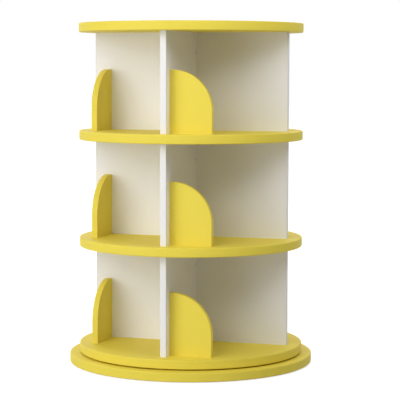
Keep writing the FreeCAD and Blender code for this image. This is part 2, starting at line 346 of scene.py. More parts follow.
# Paler yellow for the edges: partly wear, partly a painted highlight.
PAINT_WORN_AND_HIGHLIT = (0.87, 0.74, 0.15, 1)
PAINT_SKIN_DEPTH = 0.05 * MM
EDGE_WIDTH = 1.6 * MM
EDGE_POLISH = -0.08


def make_yellow_paint():
    material, tree, shader, place = open_material(
        "satin_yellow_paint", specular_ior_level=0.16, coat_weight=0.02, coat_roughness=0.4
    )
    drift = use(tree, tint_drift, Place=place, Colour=PAINT_YELLOW, Amount=0.025, Scale=9.0)
    # The edge mask lightens the paint along edges: partly wear, partly a painted highlight.
    edge_wear_and_highlight = use(tree, worn_and_highlit_edge, Place=place, Width=EDGE_WIDTH, Patch_scale=30.0)
    feed(tree, shader.inputs["Base Color"], blend_colours(tree, edge_wear_and_highlight, drift, PAINT_WORN_AND_HIGHLIT))
    gloss = use(tree, handled_gloss, Place=place, Roughness=0.56, Spread=0.07, Scale=14.0)
    feed(tree, shader.inputs["Roughness"], maths(tree, "MULTIPLY_ADD", edge_wear_and_highlight, EDGE_POLISH, gloss))
    skin = use(tree, fine_skin, Place=place, Wave_scale=240.0, Grain_scale=1500.0, Grain_share=0.25)
    raise_surface(tree, shader, skin, PAINT_SKIN_DEPTH)
    return material


yellow_paint = make_yellow_paint()
print("Material", yellow_paint.name)

# %% [markdown]
# The upright panels are faced with a warm white laminate that has a fine pressed pebble. The
# strip that closes each outer end is glued on, and its joint shows as a hairline one
# millimetre back on both faces. The line is drawn where the distance along the panel, which is
# the larger of the two level coordinates, comes to the strip's inner side.

# %% Material: white laminate
LAMINATE_WHITE = (0.84, 0.832, 0.83, 1)
# Paler white for the edges: partly wear, partly a painted highlight.
LAMINATE_WORN_AND_HIGHLIT = (0.89, 0.885, 0.88, 1)
SEAM_SHADE = (0.50, 0.47, 0.41, 1)
LAMINATE_DEPTH = 0.035 * MM
LAMINATE_EDGE_WIDTH = 0.8 * MM
STRIP_THICKNESS = 1.0 * MM
SEAM_WIDTH = 0.35 * MM
panel_reach = -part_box("upper_front_panel")[0].y


def end_strip_seam(tree, place):
    """A mask of the hairline between the panel's face and its end strip."""
    parts = add(tree, "ShaderNodeSeparateXYZ", {"Vector": place})
    across = maths(tree, "ABSOLUTE", parts.outputs["X"])
    along = maths(tree, "ABSOLUTE", parts.outputs["Y"])
    distance = maths(tree, "MAXIMUM", across, along)
    return maths(tree, "COMPARE", distance, panel_reach - STRIP_THICKNESS, SEAM_WIDTH / 2)


def make_white_laminate():
    material, tree, shader, place = open_material("warm_white_laminate", specular_ior_level=0.3)
    drift = use(tree, tint_drift, Place=place, Colour=LAMINATE_WHITE, Amount=0.015, Scale=7.0)
    # The edge mask lightens the laminate along edges: partly wear, partly a painted highlight.
    edge_wear_and_highlight = use(tree, worn_and_highlit_edge, Place=place, Width=LAMINATE_EDGE_WIDTH, Patch_scale=60.0)
    worn_and_highlit = blend_colours(tree, edge_wear_and_highlight, drift, LAMINATE_WORN_AND_HIGHLIT)
    seam = end_strip_seam(tree, place)
    feed(tree, shader.inputs["Base Color"], blend_colours(tree, seam, worn_and_highlit, SEAM_SHADE))
    gloss = use(tree, handled_gloss, Place=place, Roughness=0.5, Spread=0.05, Scale=22.0)
    feed(tree, shader.inputs["Roughness"], gloss)
    skin = use(tree, fine_skin, Place=place, Wave_scale=700.0, Grain_scale=2400.0, Grain_share=0.5)
    raise_surface(tree, shader, maths(tree, "SUBTRACT", skin, seam), LAMINATE_DEPTH)
    return material


white_laminate = make_white_laminate()
print("Material", white_laminate.name, "with its seam at", round(panel_reach - STRIP_THICKNESS, 4), "m")

# %% [markdown]
# The bearing's two rings are turned aluminium. A lathe tool leaves rings of fine marks round
# the axis, so the pattern depends only on the distance from it. The same group serves any
# turned metal.

# %% Shader group and material: turned aluminium
ALUMINIUM = (0.78, 0.79, 0.80, 1)
TOOL_MARK_DEPTH = 0.02 * MM
LEAST_ROUGHNESS = 0.2
MARK_ROUGHNESS = 0.2


def make_tool_marks():
    """Rings of fine noise about the axis, as a height from zero to one."""
    tree, given, result = open_tree(
        "tool_marks",
        "ShaderNodeTree",
        [("Place", "NodeSocketVector", None), ("Marks per metre", "NodeSocketFloat", 2500.0)],
        [("Height", "NodeSocketFloat")],
    )
    parts = add(tree, "ShaderNodeSeparateXYZ", {"Vector": given["Place"]})
    level = add(tree, "ShaderNodeCombineXYZ", {"X": parts.outputs["X"], "Y": parts.outputs["Y"]})
    radius = add(tree, "ShaderNodeVectorMath", {0: level.outputs[0]}, operation="LENGTH")
    marks = add(tree, "ShaderNodeTexNoise", noise_dimensions="1D")
    feed(tree, marks.inputs["W"], radius.outputs["Value"])
    feed(tree, marks.inputs["Scale"], given["Marks per metre"])
    feed(tree, result["Height"], marks.outputs["Fac"])
    return tree


tool_marks = make_tool_marks()


def make_turned_aluminium():
    material, tree, shader, place = open_material("turned_aluminium", metallic=1.0)
    drift = use(tree, tint_drift, Place=place, Colour=ALUMINIUM, Amount=0.03, Scale=60.0)
    feed(tree, shader.inputs["Base Color"], drift)
    marks = use(tree, tool_marks, Place=place, Marks_per_metre=2600.0)
    gloss = maths(tree, "MULTIPLY_ADD", marks, MARK_ROUGHNESS, LEAST_ROUGHNESS)
    feed(tree, shader.inputs["Roughness"], gloss)
    raise_surface(tree, shader, marks, TOOL_MARK_DEPTH)
    return material


turned_aluminium = make_turned_aluminium()
print("Material", turned_aluminium.name)

# %% [markdown]
# Small hardware: polished steel balls, zinc plated screws, a milky nylon cage and black rubber
# feet. Plating isn't one grey. It drifts between a bluish and a straw tint, which a cloud of
# noise mixes, and its crystals break up the gloss.

# %% Materials: balls, screws, cage and feet
STEEL = (0.72, 0.73, 0.75, 1)
ZINC_BLUE = (0.60, 0.64, 0.70, 1)
ZINC_STRAW = (0.72, 0.69, 0.60, 1)
ALL_BLUE = 0.35
ALL_STRAW = 0.65
NYLON = (0.80, 0.79, 0.74, 1)
RUBBER = (0.028, 0.028, 0.03, 1)
ZINC_DEPTH = 0.01 * MM
NYLON_DEPTH = 0.02 * MM
RUBBER_DEPTH = 0.05 * MM


def make_ball_steel():
    material, tree, shader, place = open_material("polished_ball_steel", metallic=1.0)
    drift = use(tree, tint_drift, Place=place, Colour=STEEL, Amount=0.02, Scale=400.0)
    feed(tree, shader.inputs["Base Color"], drift)
    gloss = use(tree, handled_gloss, Place=place, Roughness=0.1, Spread=0.04, Scale=500.0)
    feed(tree, shader.inputs["Roughness"], gloss)
    return material


def make_zinc():
    material, tree, shader, place = open_material("zinc_plated_steel", metallic=1.0)
    cloud = add(tree, "ShaderNodeTexNoise", {"Vector": place, "Scale": 180.0, "Detail": 3.0})
    straw = remap(tree, cloud.outputs["Fac"], ALL_BLUE, ALL_STRAW)
    feed(tree, shader.inputs["Base Color"], blend_colours(tree, straw, ZINC_BLUE, ZINC_STRAW))
    gloss = use(tree, handled_gloss, Place=place, Roughness=0.32, Spread=0.1, Scale=900.0)
    feed(tree, shader.inputs["Roughness"], gloss)
    skin = use(tree, fine_skin, Place=place, Wave_scale=1800.0, Grain_scale=5000.0, Grain_share=0.4)
    raise_surface(tree, shader, skin, ZINC_DEPTH)
    return material


def make_nylon():
    material, tree, shader, place = open_material("milky_nylon", specular_ior_level=0.5)
    drift = use(tree, tint_drift, Place=place, Colour=NYLON, Amount=0.03, Scale=80.0)
    feed(tree, shader.inputs["Base Color"], drift)
    gloss = use(tree, handled_gloss, Place=place, Roughness=0.42, Spread=0.05, Scale=200.0)
    feed(tree, shader.inputs["Roughness"], gloss)
    skin = use(tree, fine_skin, Place=place, Wave_scale=900.0, Grain_scale=3000.0, Grain_share=0.3)
    raise_surface(tree, shader, skin, NYLON_DEPTH)
    return material


def make_rubber():
    material, tree, shader, place = open_material("black_rubber", specular_ior_level=0.35)
    dust = use(tree, tint_drift, Place=place, Colour=RUBBER, Amount=0.25, Scale=120.0)
    feed(tree, shader.inputs["Base Color"], dust)
    gloss = use(tree, handled_gloss, Place=place, Roughness=0.78, Spread=0.08, Scale=150.0)
    feed(tree, shader.inputs["Roughness"], gloss)
    skin = use(tree, fine_skin, Place=place, Wave_scale=1500.0, Grain_scale=4000.0, Grain_share=0.6)
    raise_surface(tree, shader, skin, RUBBER_DEPTH)
    return material


ball_steel = make_ball_steel()
zinc = make_zinc()
nylon = make_nylon()
rubber = make_rubber()
print("Materials", [material.name for material in (ball_steel, zinc, nylon, rubber)])

# %% [markdown]
# Dowels are cut along the grain, and they lie in three directions. An object coordinate would
# run the grain one way through all of them, so each dowel carries its own coordinate as an
# attribute called own_place, with Z along the dowel. Noise that changes slowly along Z then
# makes long fibres on every one.

# %% Material: beech
BEECH_PALE = (0.62, 0.42, 0.24, 1)
BEECH_DARK = (0.43, 0.26, 0.13, 1)
FIBRE_STRETCH = (900.0, 900.0, 45.0)
ALL_PALE = 0.35
ALL_DARK = 0.7
PALE_ROUGHNESS = 0.55
DARK_ROUGHER_BY = 0.12
FIBRE_DEPTH = 0.05 * MM


def make_beech():
    material, tree, shader, place = open_material("beech_wood", specular_ior_level=0.35)
    own = add(tree, "ShaderNodeAttribute", attribute_name="own_place").outputs["Vector"]
    grain = add(tree, "ShaderNodeMapping", {"Vector": own, "Scale": FIBRE_STRETCH})
    fibre = add(tree, "ShaderNodeTexNoise", {"Vector": grain.outputs[0], "Scale": 1.0, "Detail": 4.0})
    streak = remap(tree, fibre.outputs["Fac"], ALL_PALE, ALL_DARK)
    wood = blend_colours(tree, streak, BEECH_PALE, BEECH_DARK)
    feed(tree, shader.inputs["Base Color"], use(tree, tint_drift, Place=place, Colour=wood, Amount=0.08))
    gloss = maths(tree, "MULTIPLY_ADD", streak, DARK_ROUGHER_BY, PALE_ROUGHNESS)
    feed(tree, shader.inputs["Roughness"], gloss)
    raise_surface(tree, shader, streak, FIBRE_DEPTH)
    return material


beech = make_beech()
print("Material", beech.name)

# %% [markdown]
# The pieces that keep the frame's own shape get their new material through its slot. That is
# all that happens to them: their meshes already have the right form and place.

# %% Dress the pieces of the frame
FINISHES = {
    "yellow_board": yellow_paint,
    "white_board": white_laminate,
    "beech": beech,
    "bearing_aluminium": turned_aluminium,
    "ball_steel": ball_steel,
    "cage_plastic": nylon,
    "zinc_steel": zinc,
    "foot_rubber": rubber,
}
slot_of = {entry["node"]: entry["material_slot"] for entry in frame["record"]["subparts"]}
body_of = {
    node: body
    for body, members in frame["record"]["behaviour"]["bodies"].items()
    for node in members
}
for node, slot in slot_of.items():
    nodes[node].data.materials.clear()
    nodes[node].data.materials.append(FINISHES[slot])
print("Dressed", len(slot_of), "pieces in", len(set(slot_of.values())), "finishes")

# %% [markdown]
# Screws, dowels and feet repeat, so for each node one is modelled and set at all its places.
# The bearing's balls stay the frame's own, because a ball is right as it is. The places come
# from the frame. A copy of a node's mesh is joined up and split into its separate solids, and
# each solid tells where its first end is, which way it points and how long it is. A screw's
# first end is its head, the wider one.

# %% Find the places of the fixings
END_SLICE = 0.15 * MM
WELD_DISTANCE = 0.001 * MM


def separate_solids(node):
    """The corner points of each solid in a node of the frame."""
    mesh = bmesh.new()
    mesh.from_mesh(nodes[node].data)
    bmesh.ops.remove_doubles(mesh, verts=mesh.verts, dist=WELD_DISTANCE)
    waiting = set(mesh.verts)
    solids = []
    while waiting:
        front = [waiting.pop()]
        solid = []
        while front:
            vertex = front.pop()
            solid.append(vertex.co.copy())
            for edge in vertex.link_edges:
                other = edge.other_vert(vertex)
                if other in waiting:
                    waiting.remove(other)
                    front.append(other)
        solids.append(solid)
    mesh.free()
    return solids


def measure_fixing(points):
    """Where a long solid starts, the way it points, and its length."""
    low = Vector([min(point[i] for point in points) for i in range(3)])
    high = Vector([max(point[i] for point in points) for i in range(3)])
    size = high - low
    axis = max(range(3), key=lambda i: size[i])
    middle = (low + high) / 2
    aim = Vector([float(i == axis) for i in range(3)])

    def end_width(level):
        slice_points = [p for p in points if abs(p[axis] - level) < END_SLICE]
        return max((p - middle).cross(aim).length for p in slice_points)

    start = middle - aim * size[axis] / 2
    if end_width(high[axis]) > end_width(low[axis]) + END_SLICE:
        return middle + aim * size[axis] / 2, -aim, size[axis]
    return start, aim, size[axis]


def fixings(node):
    """Every fixing in a node: a start, a direction and a length, in a steady order."""
    found = [measure_fixing(points) for points in separate_solids(node)]
    return sorted(found, key=lambda fixing: tuple(round(v, 5) for v in fixing[0]))


hub_example = fixings("lower_hub_screws")
print("Lower hub screws:", len(hub_example), "each", round(hub_example[0][2] / MM, 1), "mm long")

# %% [markdown]
# A Geometry Nodes tree sets one piece at every place. The places are a mesh of loose points
# that carry their direction as an attribute, and the tree turns each copy to that direction. A
# random twist about the piece's own axis, with a fixed seed, keeps the screws' crosses from
# lining up, as in real work. The instances are made real at the end, because an export drops
# them.

# %% Geometry Nodes: set pieces at places
def make_setting_tree():
    tree, given, result = open_tree(
        "set_pieces_at_places",
        "GeometryNodeTree",
        [
            ("Places", "NodeSocketGeometry", None),
            ("Piece", "NodeSocketObject", None),
            ("Largest twist", "NodeSocketFloat", 0.0),
            ("Seed", "NodeSocketInt", 1),
            ("Material", "NodeSocketMaterial", None),
        ],
        [("Geometry", "NodeSocketGeometry")],
    )
    aim = add(tree, "GeometryNodeInputNamedAttribute", {"Name": "aim"}, data_type="FLOAT_VECTOR")
    facing = add(tree, "FunctionNodeAlignRotationToVector", {"Vector": aim.outputs["Attribute"]}, axis="Z")
    # Input 3 of Random Value is the largest plain number, and output 1 is the number it picks.
    chance = add(tree, "FunctionNodeRandomValue", {"Seed": given["Seed"]}, data_type="FLOAT")
    feed(tree, chance.inputs[3], given["Largest twist"])
    twist = add(tree, "FunctionNodeAxisAngleToRotation", {"Axis": (0, 0, 1), "Angle": chance.outputs[1]})
    turned = add(tree, "FunctionNodeRotateRotation", rotation_space="LOCAL")
    feed(tree, turned.inputs["Rotation"], facing.outputs["Rotation"])
    feed(tree, turned.inputs["Rotate By"], twist.outputs["Rotation"])
    piece = add(tree, "GeometryNodeObjectInfo", {"Object": given["Piece"]})
    copies = add(tree, "GeometryNodeInstanceOnPoints", {"Points": given["Places"]})
    feed(tree, copies.inputs["Instance"], piece.outputs["Geometry"])
    feed(tree, copies.inputs["Rotation"], turned.outputs["Rotation"])
    real = add(tree, "GeometryNodeRealizeInstances", {"Geometry": copies.outputs["Instances"]})
    coated = add(tree, "GeometryNodeSetMaterial", {"Geometry": real.outputs[0]})
    feed(tree, coated.inputs["Material"], given["Material"])
    feed(tree, result["Geometry"], coated.outputs["Geometry"])
    return tree


setting_tree = make_setting_tree()


def new_object(name, mesh):
    """An object for a mesh, linked into the scene."""
    piece = bpy.data.objects.new(name, mesh)
    bpy.context.scene.collection.objects.link(piece)
    return piece


def place_points(name, places):
    """A mesh object of loose points, each with the direction of its piece."""
    mesh = bpy.data.meshes.new(name)
    mesh.from_pydata([start for start, aim in places], [], [])
    directions = mesh.attributes.new("aim", "FLOAT_VECTOR", "POINT")
    for entry, (start, aim) in zip(directions.data, places):
        entry.vector = aim
    return new_object(name, mesh)


def give_tree(host, tree, values):
    """Add the tree to an object as a modifier, and set its named inputs."""
    modifier = host.modifiers.new(tree.name, "NODES")
    modifier.node_group = tree
    sockets = {
        item.name: item.identifier
        for item in tree.interface.items_tree
        if item.item_type == "SOCKET" and item.in_out == "INPUT"
    }
    for label, value in values.items():
        modifier[sockets[label]] = value


def take_result(host, name):
    """The plain mesh that the host's modifiers make, as a new object. The host goes away."""
    bpy.context.view_layer.update()
    graph = bpy.context.evaluated_depsgraph_get()
    mesh = bpy.data.meshes.new_from_object(host.evaluated_get(graph))
    mesh.name = name
    bpy.data.objects.remove(host)
    return new_object(name, mesh)


def put_in_frame(piece, node):
    """The piece stands for a node of the frame: it joins the node's body, and the node is hidden."""
    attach(piece, body_of[node])
    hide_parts(node)


def set_at_places(name, template, places, material, twist=0.0, seed=1):
    """Copies of a template at every place, as one plain mesh in a new object."""
    host = place_points(name + "_places", places)
    values = {"Piece": template, "Largest twist": twist, "Seed": seed, "Material": material}
    give_tree(host, setting_tree, values)
    return take_result(host, name)


print("Tree", setting_tree.name, "with", len(setting_tree.nodes), "nodes")

# %% [markdown]
# Everything round here could come off a lathe. The lathe tree takes a profile, drawn as a line
# of points from the axis out and back, and turns it once round. It does so with a grid: one
# direction of the grid follows the profile and the other follows the angle. Merging by distance
# then closes the seam and the two poles. Flat faces are shaded flat, so that only the rounded
# rim is smooth.

# %% Geometry Nodes: a lathe
FLAT_LIMIT = 0.9999


def shade_by_shape(tree, geometry):
    """Smooth shading on everything but level faces."""
    normal = tree.nodes.new("GeometryNodeInputNormal")
    parts = add(tree, "ShaderNodeSeparateXYZ", {"Vector": normal.outputs["Normal"]})
    level = maths(tree, "ABSOLUTE", parts.outputs["Z"])
    curved = add(tree, "FunctionNodeCompare", data_type="FLOAT", operation="LESS_THAN")
    feed(tree, curved.inputs[0], level)
    feed(tree, curved.inputs[1], FLAT_LIMIT)
    shaded = add(tree, "GeometryNodeSetShadeSmooth", {"Geometry": geometry})
    feed(tree, shaded.inputs["Shade Smooth"], curved.outputs[0])
    return shaded.outputs["Geometry"]


def make_lathe_tree():
    tree, given, result = open_tree(
        "lathe",
        "GeometryNodeTree",
        [
            ("Profile", "NodeSocketGeometry", None),
            ("Steps", "NodeSocketInt", 180),
            ("Material", "NodeSocketMaterial", None),
        ],
        [("Geometry", "NodeSocketGeometry")],
    )
    size = add(tree, "GeometryNodeAttributeDomainSize", {"Geometry": given["Profile"]})
    count = size.outputs["Point Count"]
    grid = add(tree, "GeometryNodeMeshGrid", {"Vertices Y": count})
    feed(tree, grid.inputs["Vertices X"], maths(tree, "ADD", given["Steps"], 1.0))
    index = tree.nodes.new("GeometryNodeInputIndex").outputs["Index"]
    step = maths(tree, "FLOOR", maths(tree, "DIVIDE", maths(tree, "ADD", index, 0.5), count))
    along = maths(tree, "SUBTRACT", index, maths(tree, "MULTIPLY", step, count))
    position = tree.nodes.new("GeometryNodeInputPosition").outputs["Position"]
    sample = add(tree, "GeometryNodeSampleIndex", {"Geometry": given["Profile"]}, data_type="FLOAT_VECTOR")
    feed(tree, sample.inputs["Value"], position)
    feed(tree, sample.inputs["Index"], along)
    angle = maths(tree, "MULTIPLY", maths(tree, "DIVIDE", step, given["Steps"]), math.tau)
    turned = add(tree, "ShaderNodeVectorRotate", {"Vector": sample.outputs[0]}, rotation_type="Z_AXIS")
    feed(tree, turned.inputs["Angle"], angle)
    moved = add(tree, "GeometryNodeSetPosition", {"Geometry": grid.outputs["Mesh"]})
    feed(tree, moved.inputs["Position"], turned.outputs[0])
    merged = add(tree, "GeometryNodeMergeByDistance", {"Geometry": moved.outputs[0]})
    merged.inputs["Distance"].default_value = WELD_DISTANCE
    shaded = shade_by_shape(tree, merged.outputs[0])
    coated = add(tree, "GeometryNodeSetMaterial", {"Geometry": shaded, "Material": given["Material"]})
    feed(tree, result["Geometry"], coated.outputs["Geometry"])
    return tree


lathe_tree = make_lathe_tree()


def profile_line(name, points):
    """A mesh object of one open line, from (radius, height) points."""
    mesh = bpy.data.meshes.new(name)
    places = [(radius, 0, height) for radius, height in points]
    mesh.from_pydata(places, [(i, i + 1) for i in range(len(places) - 1)], [])
    return new_object(name, mesh)


def quarter_round(centre, radius, first_angle, steps):
    """Points of a quarter circle about a (radius, height) centre, from an angle in degrees."""
    points = []
    for i in range(steps + 1):
        angle = math.radians(first_angle + 90 * i / steps)
        points.append((centre[0] + radius * math.cos(angle), centre[1] + radius * math.sin(angle)))
    return points


print("Tree", lathe_tree.name, "with", len(lathe_tree.nodes), "nodes")

# %% [markdown]
# After turning, a shelf is drilled for the dowels that join it to the panels. A second tree
# takes cylinders away from the board at the dowels' places, a little longer and wider than the
# dowels. The holes stay hidden under the panels, but taken apart the shelf is then still right.

# %% Geometry Nodes: a drill
DRILL_SIDES = 32


def make_drill_tree():
    tree, given, result = open_tree(
        "drill",
        "GeometryNodeTree",
        [
            ("Board", "NodeSocketGeometry", None),
            ("Places", "NodeSocketObject", None),
            ("Radius", "NodeSocketFloat", 0.003),
            ("Depth", "NodeSocketFloat", 0.05),
            ("Material", "NodeSocketMaterial", None),
        ],
        [("Geometry", "NodeSocketGeometry")],
    )
    bit = add(tree, "GeometryNodeMeshCylinder", {"Vertices": DRILL_SIDES, "Radius": given["Radius"]})
    feed(tree, bit.inputs["Depth"], given["Depth"])
    places = add(tree, "GeometryNodeObjectInfo", {"Object": given["Places"]})
    bits = add(tree, "GeometryNodeInstanceOnPoints", {"Points": places.outputs["Geometry"]})
    feed(tree, bits.inputs["Instance"], bit.outputs["Mesh"])
    real = add(tree, "GeometryNodeRealizeInstances", {"Geometry": bits.outputs["Instances"]})
    cut = add(tree, "GeometryNodeMeshBoolean", operation="DIFFERENCE", solver="EXACT")
    feed(tree, cut.inputs["Mesh 1"], given["Board"])
    feed(tree, cut.inputs["Mesh 2"], real.outputs["Geometry"])
    coated = add(tree, "GeometryNodeSetMaterial", {"Geometry": shade_by_shape(tree, cut.outputs["Mesh"])})
    feed(tree, coated.inputs["Material"], given["Material"])
    feed(tree, result["Geometry"], coated.outputs["Geometry"])
    return tree


drill_tree = make_drill_tree()
print("Tree", drill_tree.name, "with", len(drill_tree.nodes), "nodes")

# %% [markdown]
# The two shelves and the top are the pieces that the case is known by, so they are turned and
# drilled with the trees above. Radius, thickness and level are read from the frame. The rim
# edges are rounded by two millimetres, which catches the thin pale line that the photograph
# shows along each rim. Close to the rim an extra ring of points holds the shading of the flat
# faces level.

# %% Turn and drill the shelves and the top
RIM_ROUNDING = 2.0 * MM
RIM_STEPS = 8
BOARD_STEPS = 240
HOLE_CLEARANCE = 0.05 * MM
HOLE_END_GAP = 0.5 * MM
DOWEL_RADIUS = 3.0 * MM


def board_profile(radius, bottom, top):
    """A round board's half section, from the axis along the bottom, over the rim and back."""
    centre = radius - RIM_ROUNDING
    points = [(0.0, bottom), (centre - RIM_ROUNDING, bottom)]
    points += quarter_round((centre, bottom + RIM_ROUNDING), RIM_ROUNDING, -90, RIM_STEPS)
    points += quarter_round((centre, top - RIM_ROUNDING), RIM_ROUNDING, 0, RIM_STEPS)
    return points + [(centre - RIM_ROUNDING, top), (0.0, top)]


def turn_board(node):
    """A board turned to the node's own radius, thickness and level, drilled for its dowels."""
    low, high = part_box(node)
    host = profile_line(node + "_profile", board_profile(high.x, low.z, high.z))
    give_tree(host, lathe_tree, {"Steps": BOARD_STEPS, "Material": yellow_paint})
    dowels = fixings(node + "_dowels")
    middles = [(start + aim * length / 2, aim) for start, aim, length in dowels]
    drill_places = place_points(node + "_drill_places", middles)
    depth = dowels[0][2] + 2 * HOLE_END_GAP
    values = {"Places": drill_places, "Radius": DOWEL_RADIUS + HOLE_CLEARANCE, "Depth": depth}
    give_tree(host, drill_tree, values | {"Material": yellow_paint})
    board = take_result(host, "turned_" + node)
    bpy.data.objects.remove(drill_places)
    put_in_frame(board, node)
    return board


for node in ("middle_shelf", "upper_shelf", "top_disc"):
    board = turn_board(node)
    print(board.name, "has", len(board.data.polygons), "faces")

# %% [markdown]
# A dowel is a beech pin with pressed flutes, which let the glue out, and chamfered ends. Its
# section is a circle whose every other point lies lower. The template stands at the origin
# along Z, and every point stores its place there as own_place for the grain. The seed of the
# random twist is the length of the node's name, so every run turns the pins the same way.

# %% Make the fluted dowels
FLUTE_COUNT = 18
FLUTE_DEPTH = 0.25 * MM
DOWEL_CHAMFER = 0.6 * MM


def store_own_place(mesh):
    """Write each point's place on the point itself, for a grain that follows the piece."""
    attribute = mesh.attributes.new("own_place", "FLOAT_VECTOR", "POINT")
    for entry, vertex in zip(attribute.data, mesh.vertices):
        entry.vector = vertex.co


def dowel_template(length):
    """A fluted pin from the origin along Z."""
    levels = [
        (0.0, DOWEL_RADIUS - DOWEL_CHAMFER, 0.0),
        (DOWEL_CHAMFER, DOWEL_RADIUS, FLUTE_DEPTH),
        (length - DOWEL_CHAMFER, DOWEL_RADIUS, FLUTE_DEPTH),
        (length, DOWEL_RADIUS - DOWEL_CHAMFER, 0.0),
    ]
    count = 2 * FLUTE_COUNT
    points = []
    for height, radius, flute in levels:
        for i in range(count):
            angle = math.tau * i / count
            reach = radius - flute * (i % 2)
            points.append((reach * math.cos(angle), reach * math.sin(angle), height))
    faces = [tuple(reversed(range(count)))]
    for level in range(len(levels) - 1):
        for i in range(count):
            first = level * count + i
            second = level * count + (i + 1) % count
            faces.append((first, second, second + count, first + count))
    faces.append(tuple(range((len(levels) - 1) * count, len(levels) * count)))
    mesh = bpy.data.meshes.new("dowel_template")
    mesh.from_pydata(points, [], faces)
    store_own_place(mesh)
    return new_object("dowel_template", mesh)


for node in sorted(name for name in nodes if name.endswith("_dowels")):
    dowels = fixings(node)
    template = dowel_template(dowels[0][2])
    places = [(start, aim) for start, aim, length in dowels]
    pins = set_at_places("fluted_" + node, template, places, beech, twist=math.tau, seed=len(node))
    bpy.data.objects.remove(template)
    put_in_frame(pins, node)
    print(pins.name, "has", len(dowels), "pins")

# %% [markdown]
# The screws are countersunk chipboard screws with a cross recess. A thread is a helix, and a
# grid makes it: one direction goes round the screw, the other along it, and every point also
# climbs by the pitch as it goes round. Rows alternate between the core and the crest. Points
# past either end of the thread are held at that end, and merging them closes the shank. The
# recess is a cross of twenty four points, so that it joins the round head point by point.

# %% Make a threaded screw
HEAD_RADIUS = 3.8 * MM
HEAD_DEPTH = 2.0 * MM
HEAD_EDGE = 0.25 * MM
SHANK_RADIUS = 2.0 * MM
CORE_RADIUS = 1.35 * MM
TIP_RADIUS = CORE_RADIUS / 6
SCREW_TIP = 2.5 * MM
PITCH = 1.8 * MM
SMOOTH_SHARE = 0.3
SCREW_SIDES = 24
RECESS_REACH = 2.0 * MM
RECESS_HALF_WIDTH = 0.45 * MM
RECESS_DEPTH = 1.2 * MM
RECESS_FLOOR_SCALE = 0.6
THREAD_ROWS = ((0.0, CORE_RADIUS), (0.28, SHANK_RADIUS), (0.4, SHANK_RADIUS), (0.6, CORE_RADIUS))


def ring_points(radius, height):
    """One ring of the screw, its first point fifteen degrees before the X axis."""
    angles = [math.tau * (i - 1) / SCREW_SIDES for i in range(SCREW_SIDES)]
    return [Vector((radius * math.cos(a), radius * math.sin(a), height)) for a in angles]


def cross_points(scale, height):
    """The recess outline, four arms of six points, in step with the ring's points."""
    reach = RECESS_REACH
    half = RECESS_HALF_WIDTH
    middle = (reach + half) / 2
    arm = ((reach, -half), (reach, 0.0), (reach, half), (middle, half), (half, half), (half, middle))
    points = []
    for quarter in range(4):
        turn = Matrix.Rotation(math.tau * quarter / 4, 3, "Z")
        points += [turn @ Vector((x * scale, y * scale, height)) for x, y in arm]
    return points


def thread_rings(start, end):
    """The thread's rows, each a turn of the helix, held between its two ends."""
    rows = []
    for turn in range(-1, math.ceil((end - start) / PITCH) + 1):
        for share, radius in THREAD_ROWS:
            row = []
            for i in range(SCREW_SIDES + 1):
                angle = math.tau * (i - 1) / SCREW_SIDES
                height = start + PITCH * (turn + share + i / SCREW_SIDES)
                held = min(max(height, start), end)
                reach = radius if held == height else CORE_RADIUS
                row.append(Vector((reach * math.cos(angle), reach * math.sin(angle), held)))
            rows.append(row)
    return rows


def screw_template(length):
    """A countersunk screw, its flat head at the origin and its shank along Z."""
    mesh = bmesh.new()

    def bridge(first, second):
        """Join two rows of points by four-sided faces. Full rings close, thread rows don't."""
        lower = [mesh.verts.new(point) for point in first]
        upper = [mesh.verts.new(point) for point in second]
        count = len(lower)
        closed = count if count == SCREW_SIDES else count - 1
        for i in range(closed):
            j = (i + 1) % count
            mesh.faces.new((lower[i], lower[j], upper[j], upper[i]))

    thread_start = HEAD_DEPTH + SMOOTH_SHARE * (length - HEAD_DEPTH)
    thread_end = length - SCREW_TIP
    recess_floor = cross_points(RECESS_FLOOR_SCALE, RECESS_DEPTH)
    rings = [
        recess_floor,
        cross_points(1.0, 0.0),
        ring_points(HEAD_RADIUS - HEAD_EDGE, 0.0),
        ring_points(HEAD_RADIUS, HEAD_EDGE / 2),
        ring_points(SHANK_RADIUS, HEAD_DEPTH),
        ring_points(CORE_RADIUS, HEAD_DEPTH + HEAD_EDGE),
        ring_points(CORE_RADIUS, thread_start),
    ]
    for first, second in zip(rings, rings[1:]):
        bridge(first, second)
    rows = thread_rings(thread_start, thread_end)
    for first, second in zip(rows, rows[1:]):
        bridge(first, second)
    bridge(ring_points(CORE_RADIUS, thread_end), ring_points(TIP_RADIUS, length))
    mesh.faces.new([mesh.verts.new(point) for point in ring_points(TIP_RADIUS, length)])
    mesh.faces.new([mesh.verts.new(point) for point in recess_floor])
    bmesh.ops.remove_doubles(mesh, verts=mesh.verts, dist=WELD_DISTANCE)
    bmesh.ops.dissolve_degenerate(mesh, edges=mesh.edges, dist=WELD_DISTANCE)
    bmesh.ops.recalc_face_normals(mesh, faces=mesh.faces)
    data = bpy.data.meshes.new("screw_template")
    mesh.to_mesh(data)
    mesh.free()
    return new_object("screw_template", data)


for node in sorted(name for name in nodes if name.endswith("_screws")):
    screws = fixings(node)
    template = screw_template(screws[0][2])
    places = [(start, aim) for start, aim, length in screws]
    cut = set_at_places("threaded_" + node, template, places, zinc, twist=math.tau, seed=len(node))
    bpy.data.objects.remove(template)
    put_in_frame(cut, node)
    print(cut.name, "has", len(screws), "screws of", round(screws[0][2] / MM, 1), "mm")

# %% [markdown]
# The feet are pressed rubber pads. Their profile goes through the lathe once and the setting
# tree copies the result to the six places. The lower edge is rounded, and a shallow dish in the
# middle lets the pad grip by its outer ring, as such pads do.

# %% Press the rubber feet
FOOT_EDGE = 0.5 * MM
FOOT_DISH_RADIUS = 7.0 * MM
FOOT_DISH_DEPTH = 0.6 * MM
FOOT_STEPS = 48
FOOT_EDGE_STEPS = 5


